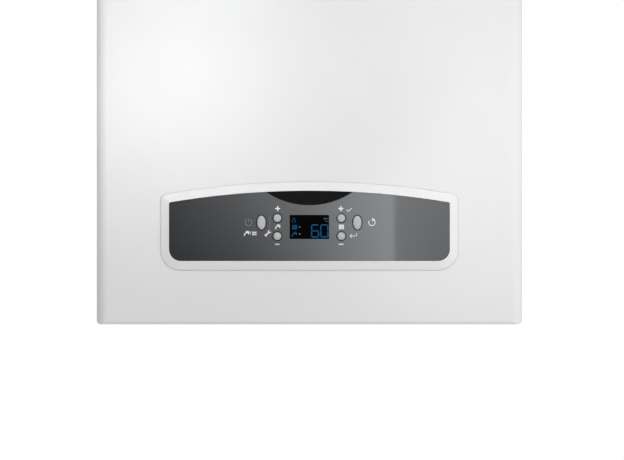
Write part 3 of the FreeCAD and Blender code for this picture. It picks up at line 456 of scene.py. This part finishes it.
# pressure gauge: dial with scale, safe and danger sectors, clear window
GC = (-100.0, -180.0)
dial = Flat(13.80, 13.97)
dial.band(GC, 1.6, 17.9, 0, 180, 40)
dial.band(GC, 1.6, 17.9, 180, 360, 40)
dial.done("gauge_dial", "dial_white", "casing")
ticks = Flat(13.70, 13.79)
for i in range(25):
    t = math.radians(130 + 10 * i)
    long = i % 6 == 0
    r0, w = (12.2, 0.42) if long else ((13.4, 0.26) if i % 3 == 0 else (14.2, 0.18))
    dx, dy = math.cos(t), math.sin(t)
    ticks.prism([(GC[0] + r * dx - s * w * dy, GC[1] + r * dy + s * w * dx) for r, s in ((r0, -1), (16.4, -1), (16.4, 1), (r0, 1))])
ticks.done("gauge_ticks", "print_black", "casing")
arc = Flat(13.72, 13.79)
arc.band(GC, 16.6, 17.6, 190, 250, 20)
arc.done("gauge_safe_sector", "dial_green", "casing")
arc = Flat(13.72, 13.79)
arc.band(GC, 16.6, 17.6, 310, 370, 20)
arc.done("gauge_danger_sector", "red_plastic", "casing", "red_plastic")
window = Flat(9.25, 9.75)
window.disc(GC, 18.1)
window.done("gauge_window", "clear_lens", "casing")


# raised marks on the two knobs: a turning arrow on the relief valve, a pointer on the filling tap
KC = (168.0, -95.0)
arrow = Flat(107.98, 108.12)
arrow.band(KC, 5.4, 7.0, 20, 250, 40)
arrow.prism([(KC[0] + r * math.cos(math.radians(t)), KC[1] + r * math.sin(math.radians(t))) for r, t in ((3.9, 246), (8.5, 246), (6.2, 286))])
arrow.done("relief_knob_arrow", "print_white", "relief_knob")
KC = (98.0, -150.0)
mark = Flat(6.88, 7.02)
mark.prism([(KC[0] - 0.8, KC[1] + 7.5), (KC[0] + 0.8, KC[1] + 7.5), (KC[0] + 0.8, KC[1] - 5.0), (KC[0] + 2.6, KC[1] - 5.0), (KC[0], KC[1] - 9.5), (KC[0] - 2.6, KC[1] - 5.0), (KC[0] - 0.8, KC[1] - 5.0)])
mark.done("filling_knob_pointer", "print_white", "filling_knob")

# pipe connections with cut threads and chamfered hexagons
def hexagon(af):
    """Radius of a hexagon with corners at 30, 90, ... degrees."""
    return lambda t, lim=1e9: min(af / 2 / math.cos((t % (math.pi / 3)) - math.pi / 6), lim)


PITCH, DEPTH = 1.814, 1.0
fit_v, fit_f = [], []
for x, R, af, shank, bore, z_top in ((-130, 13.22, 32, 12, 8, 31.5), (-65, 10.48, 26, 10, 6, 31.5), (0, 13.22, 32, 12, 8, 46.0), (65, 10.48, 26, 10, 6, 31.5), (130, 13.22, 32, 12, 8, 31.5)):
    h = hexagon(af)
    corner = af / math.sqrt(3)
    rows = [(lambda t, r=bore: r, 4.0), (lambda t, r=R - DEPTH: r, 4.0)]

    def thread(z, R=R):
        def r(t):
            p = ((z - 4.0) / PITCH - t / (2 * math.pi)) % 1.0
            return R - DEPTH * min(1.0, max(0.0, abs(2 * p - 1) * 1.5 - 0.25))
        return r
    steps = int(round((18.6 - 4.4) / (PITCH / 8)))
    for i in range(steps + 1):
        z = 4.4 + (18.6 - 4.4) * i / steps
        rows.append((thread(z), z))
    rows += [(lambda t, r=R - DEPTH: r, 18.8), (lambda t, r=R - DEPTH: r, 20.0)]
    cham = corner - 1.6
    rows += [(lambda t, c=cham: h(t, c), 20.0), (lambda t: h(t), 20.0 + 1.0), (lambda t: h(t), 28.8), (lambda t, c=cham: h(t, c), 29.8)]
    rows += [(lambda t, r=shank: r, 29.8), (lambda t, r=shank: r, z_top), (lambda t, r=bore: r, z_top)]
    n, k0 = 96, len(fit_v)
    for r, z in rows:
        fit_v += [P(x + r(t) * math.cos(t), -95.0 + r(t) * math.sin(t), z) for t in (2 * math.pi * i / n for i in range(n))]
    m = len(rows)
    for k in range(m):
        for i in range(n):
            j, k2 = (i + 1) % n, (k + 1) % m
            fit_f.append((k0 + k * n + i, k0 + k * n + j, k0 + k2 * n + j, k0 + k2 * n + i))
fittings = mesh_object("connection_fittings_threaded", fit_v, fit_f, "brass", "casing", smooth=True)
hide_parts("connection_fittings")

# ---------------------------------------------------------------- stage, light, camera
def stage_mesh(name, verts, faces, mat):
    me = bpy.data.meshes.new(name)
    me.from_pydata(verts, [], faces)
    me.materials.append(mat)
    ob = bpy.data.objects.new(name, me)
    scene.collection.objects.link(ob)
    return ob


floor_mat = material("stage_floor", (0.70, 0.70, 0.70), (0.73, 0.73, 0.73), rough=(0.6, 0.7), scale=2)
FZ = -12.0
stage_mesh("floor", [(21 * math.cos(2 * math.pi * i / 96), 21 * math.sin(2 * math.pi * i / 96), FZ) for i in range(96)], [tuple(range(96))], floor_mat).visible_diffuse = False


def area(name, loc, target, sx, sy, power, visible=False, color=(1, 1, 1)):
    li = bpy.data.lights.new(name, "AREA")
    li.shape = "RECTANGLE"
    li.size, li.size_y, li.energy, li.color = sx, sy, power, color
    ob = bpy.data.objects.new(name, li)
    scene.collection.objects.link(ob)
    ob.location = loc
    ob.rotation_mode = "QUATERNION"
    ob.rotation_quaternion = (Vector(target) - Vector(loc)).to_track_quat("-Z", "Y")
    ob.visible_camera = visible
    return ob


LAMP_D = 8000.0     # lamps to casing front, mm
CAM_D = 5.0         # camera to casing front, m


# soft lamps with a honeycomb in front of the casing, each lighting a round pool of the given radius
def lamp(name, u, v, sx, sz, power, pool):
    x, z = px(u, v)
    loc = P(x, -300.0 - LAMP_D, z)
    ob = area(name, loc, loc + Vector((0, 1, 0)), sx, sz, power)
    ob.data.spread = 2 * math.atan(pool / LAMP_D)
    ob.visible_glossy = False
    return ob


lamp("key", 169.1, 82.0, 0.129, 0.184, 0.0485, 159.6)
lamp("fill_right", 513.5, 141.6, 0.179, 0.104, 0.0827, 268.9)
lamp("upper_left", 202.7, -260.8, 0.12, 0.16, 0.0965, 334.5)
lamp("upper_right", 415.5, -260.8, 0.12, 0.16, 0.0866, 334.5)


# a panel behind the camera that only shows as a reflection: it brightens to the right and ends in a step
def reflector(name, x0, x1, z0, z1, y, stops, tilt, z_mid, z_half):
    m = bpy.data.materials.new(name)
    m.use_nodes = True
    t = m.node_tree
    t.nodes.clear()
    o = t.nodes.new("ShaderNodeOutputMaterial")
    e = t.nodes.new("ShaderNodeEmission")
    c = t.nodes.new("ShaderNodeTexCoord")
    q = t.nodes.new("ShaderNodeSeparateXYZ")
    r = t.nodes.new("ShaderNodeMapRange")
    r.inputs["From Min"].default_value = x0
    r.inputs["From Max"].default_value = x1
    k = t.nodes.new("ShaderNodeValToRGB")
    el = k.color_ramp.elements
    while len(el) < len(stops):
        el.new(0.5)
    for i, (pos, val) in enumerate(stops):
        el[i].position = pos
        el[i].color = (val, val, val, 1)
    t.links.new(c.outputs["Object"], q.inputs["Vector"])
    t.links.new(q.outputs["X"], r.inputs["Value"])
    t.links.new(r.outputs["Result"], k.inputs["Fac"])
    k2 = t.nodes.new("ShaderNodeValToRGB")
    el = k2.color_ramp.elements
    while len(el) < len(tilt):
        el.new(0.5)
    for i, (pos, val) in enumerate(tilt):
        el[i].position = pos
        el[i].color = (val, val, val, 1)
    t.links.new(r.outputs["Result"], k2.inputs["Fac"])
    h = t.nodes.new("ShaderNodeMapRange")
    h.clamp = False
    h.inputs["From Min"].default_value = z_mid - z_half
    h.inputs["From Max"].default_value = z_mid + z_half
    h.inputs["To Min"].default_value = -1.0
    h.inputs["To Max"].default_value = 1.0
    t.links.new(q.outputs["Z"], h.inputs["Value"])
    up = t.nodes.new("ShaderNodeMath")
    up.operation = "MULTIPLY_ADD"
    up.inputs[2].default_value = 1.0
    t.links.new(k2.outputs["Color"], up.inputs[0])
    t.links.new(h.outputs["Result"], up.inputs[1])
    low = t.nodes.new("ShaderNodeMath")
    low.operation = "MAXIMUM"
    low.inputs[1].default_value = 0.2
    t.links.new(up.outputs[0], low.inputs[0])
    st = t.nodes.new("ShaderNodeMath")
    st.operation = "MULTIPLY"
    t.links.new(k.outputs["Color"], st.inputs[0])
    t.links.new(low.outputs[0], st.inputs[1])
    st2 = t.nodes.new("ShaderNodeMath")
    st2.operation = "MULTIPLY"
    st2.inputs[1].default_value = 8.5
    t.links.new(st.outputs[0], st2.inputs[0])
    t.links.new(st2.outputs[0], e.inputs["Strength"])
    e.inputs["Color"].default_value = (0.972, 1.0, 1.034, 1)
    t.links.new(e.outputs["Emission"], o.inputs["Surface"])
    ob = stage_mesh(name, [(x0, y, z0), (x1, y, z0), (x1, y, z1), (x0, y, z1)], [(0, 3, 2, 1)], m)
    ob.visible_camera = False
    ob.visible_diffuse = False
    ob.visible_shadow = False
    return ob


def card_x(u):
    """Where a ray from the camera, mirrored in the fascia at pixel column u, meets the reflector."""
    x = px(u, 230)[0] / 1000.0
    return x + (x - px(312, 230)[0] / 1000.0) * 1.1


cx0, cx1 = card_x(150), card_x(470)
stops = [((card_x(u) - cx0) / (cx1 - cx0), v) for u, v in ((160, 0.06), (240, 0.20), (310, 0.42), (388, 0.80), (393, 0.84), (395, 0.52), (445, 0.42))]
tilt = [((card_x(u) - cx0) / (cx1 - cx0), v) for u, v in ((240, 0.30), (310, 0.12), (388, 0.03), (445, 0.08))]
reflector("reflection_card", cx0, cx1, -1.0, -0.10, -0.3026 - 1.1 * CAM_D, stops, tilt, P(0, 0, px(312, 230)[1])[2], 0.06)

# white backdrop all round, seen by the camera only
def backdrop(radius, rows=24, cols=48):
    m = bpy.data.materials.new("backdrop")
    m.use_nodes = True
    t = m.node_tree
    t.nodes.clear()
    o = t.nodes.new("ShaderNodeOutputMaterial")
    e = t.nodes.new("ShaderNodeEmission")
    e.inputs["Color"].default_value = (1.0, 1.0, 1.0, 1)
    e.inputs["Strength"].default_value = 1.05
    t.links.new(e.outputs["Emission"], o.inputs["Surface"])
    v = [(0, 0, radius), (0, 0, -radius)]
    for i in range(1, rows):
        k = math.pi * i / rows
        v += [(radius * math.sin(k) * math.cos(2 * math.pi * j / cols), radius * math.sin(k) * math.sin(2 * math.pi * j / cols), radius * math.cos(k)) for j in range(cols)]
    f = []
    for j in range(cols):
        n = (j + 1) % cols
        f.append((0, 2 + n, 2 + j))
        f.append((1, 2 + (rows - 2) * cols + j, 2 + (rows - 2) * cols + n))
        for i in range(rows - 2):
            f.append((2 + i * cols + j, 2 + i * cols + n, 2 + (i + 1) * cols + n, 2 + (i + 1) * cols + j))
    ob = stage_mesh("backdrop", v, f, m)
    ob.visible_diffuse = False
    ob.visible_glossy = False
    ob.visible_transmission = False
    ob.visible_volume_scatter = False
    ob.visible_shadow = False
    return ob


backdrop(25.0)

# soft surroundings: an even base and wide lobes of light, as (direction, exponent, strength)
BASE = 0.01
LOBES = [((1, 0, 0), 1.0, 0.469), ((1, 0, 0), 4.0, 0.257), ((0, -1, 0), 1.0, 0.061), ((0, 0, -1), 6.0, 0.8), ((0, -1, 1), 5.0, 1.092), ((0, 1, 0), 3.0, 0.25), ((-0.6, 0.8, 0.1), 5.0, 0.45)]
world = bpy.data.worlds.new("studio")
scene.world = world
world.use_nodes = True
nt = world.node_tree
nt.nodes.clear()
wo = nt.nodes.new("ShaderNodeOutputWorld")
bg = nt.nodes.new("ShaderNodeBackground")
tc = nt.nodes.new("ShaderNodeTexCoord")
total = nt.nodes.new("ShaderNodeValue").outputs[0]
total.default_value = BASE
for d, power, w in LOBES:
    dot = nt.nodes.new("ShaderNodeVectorMath")
    dot.operation = "DOT_PRODUCT"
    dot.inputs[1].default_value = Vector(d).normalized()
    nt.links.new(tc.outputs["Generated"], dot.inputs[0])
    half = nt.nodes.new("ShaderNodeMath")
    half.operation = "MULTIPLY_ADD"
    half.use_clamp = True
    half.inputs[1].default_value = 0.5
    half.inputs[2].default_value = 0.5
    nt.links.new(dot.outputs["Value"], half.inputs[0])
    lobe = nt.nodes.new("ShaderNodeMath")
    lobe.operation = "POWER"
    lobe.inputs[1].default_value = power
    nt.links.new(half.outputs[0], lobe.inputs[0])
    add = nt.nodes.new("ShaderNodeMath")
    add.operation = "MULTIPLY_ADD"
    add.inputs[1].default_value = w
    nt.links.new(lobe.outputs[0], add.inputs[0])
    nt.links.new(total, add.inputs[2])
    total = add.outputs[0]
bg.inputs["Color"].default_value = (0.997, 1.0, 1.002, 1)
nt.links.new(total, bg.inputs["Strength"])
nt.links.new(bg.outputs["Background"], wo.inputs["Surface"])

cam_data = bpy.data.cameras.new("camera")
cam = bpy.data.objects.new("camera", cam_data)
scene.collection.objects.link(cam)
cx_mm, cz_mm = px(311.75, 230.0)
cam.location = P(cx_mm, -300.0, cz_mm) + Vector((0, -CAM_D, 0))
cam.rotation_euler = (math.radians(90), 0, 0)
cam_data.sensor_width = 36.0
cam_data.lens = 36.0 * CAM_D / (624 * PX / 1000.0) * 1.0015
scene.camera = cam
scene.view_settings.view_transform = "Standard"
scene.view_settings.look = "None"
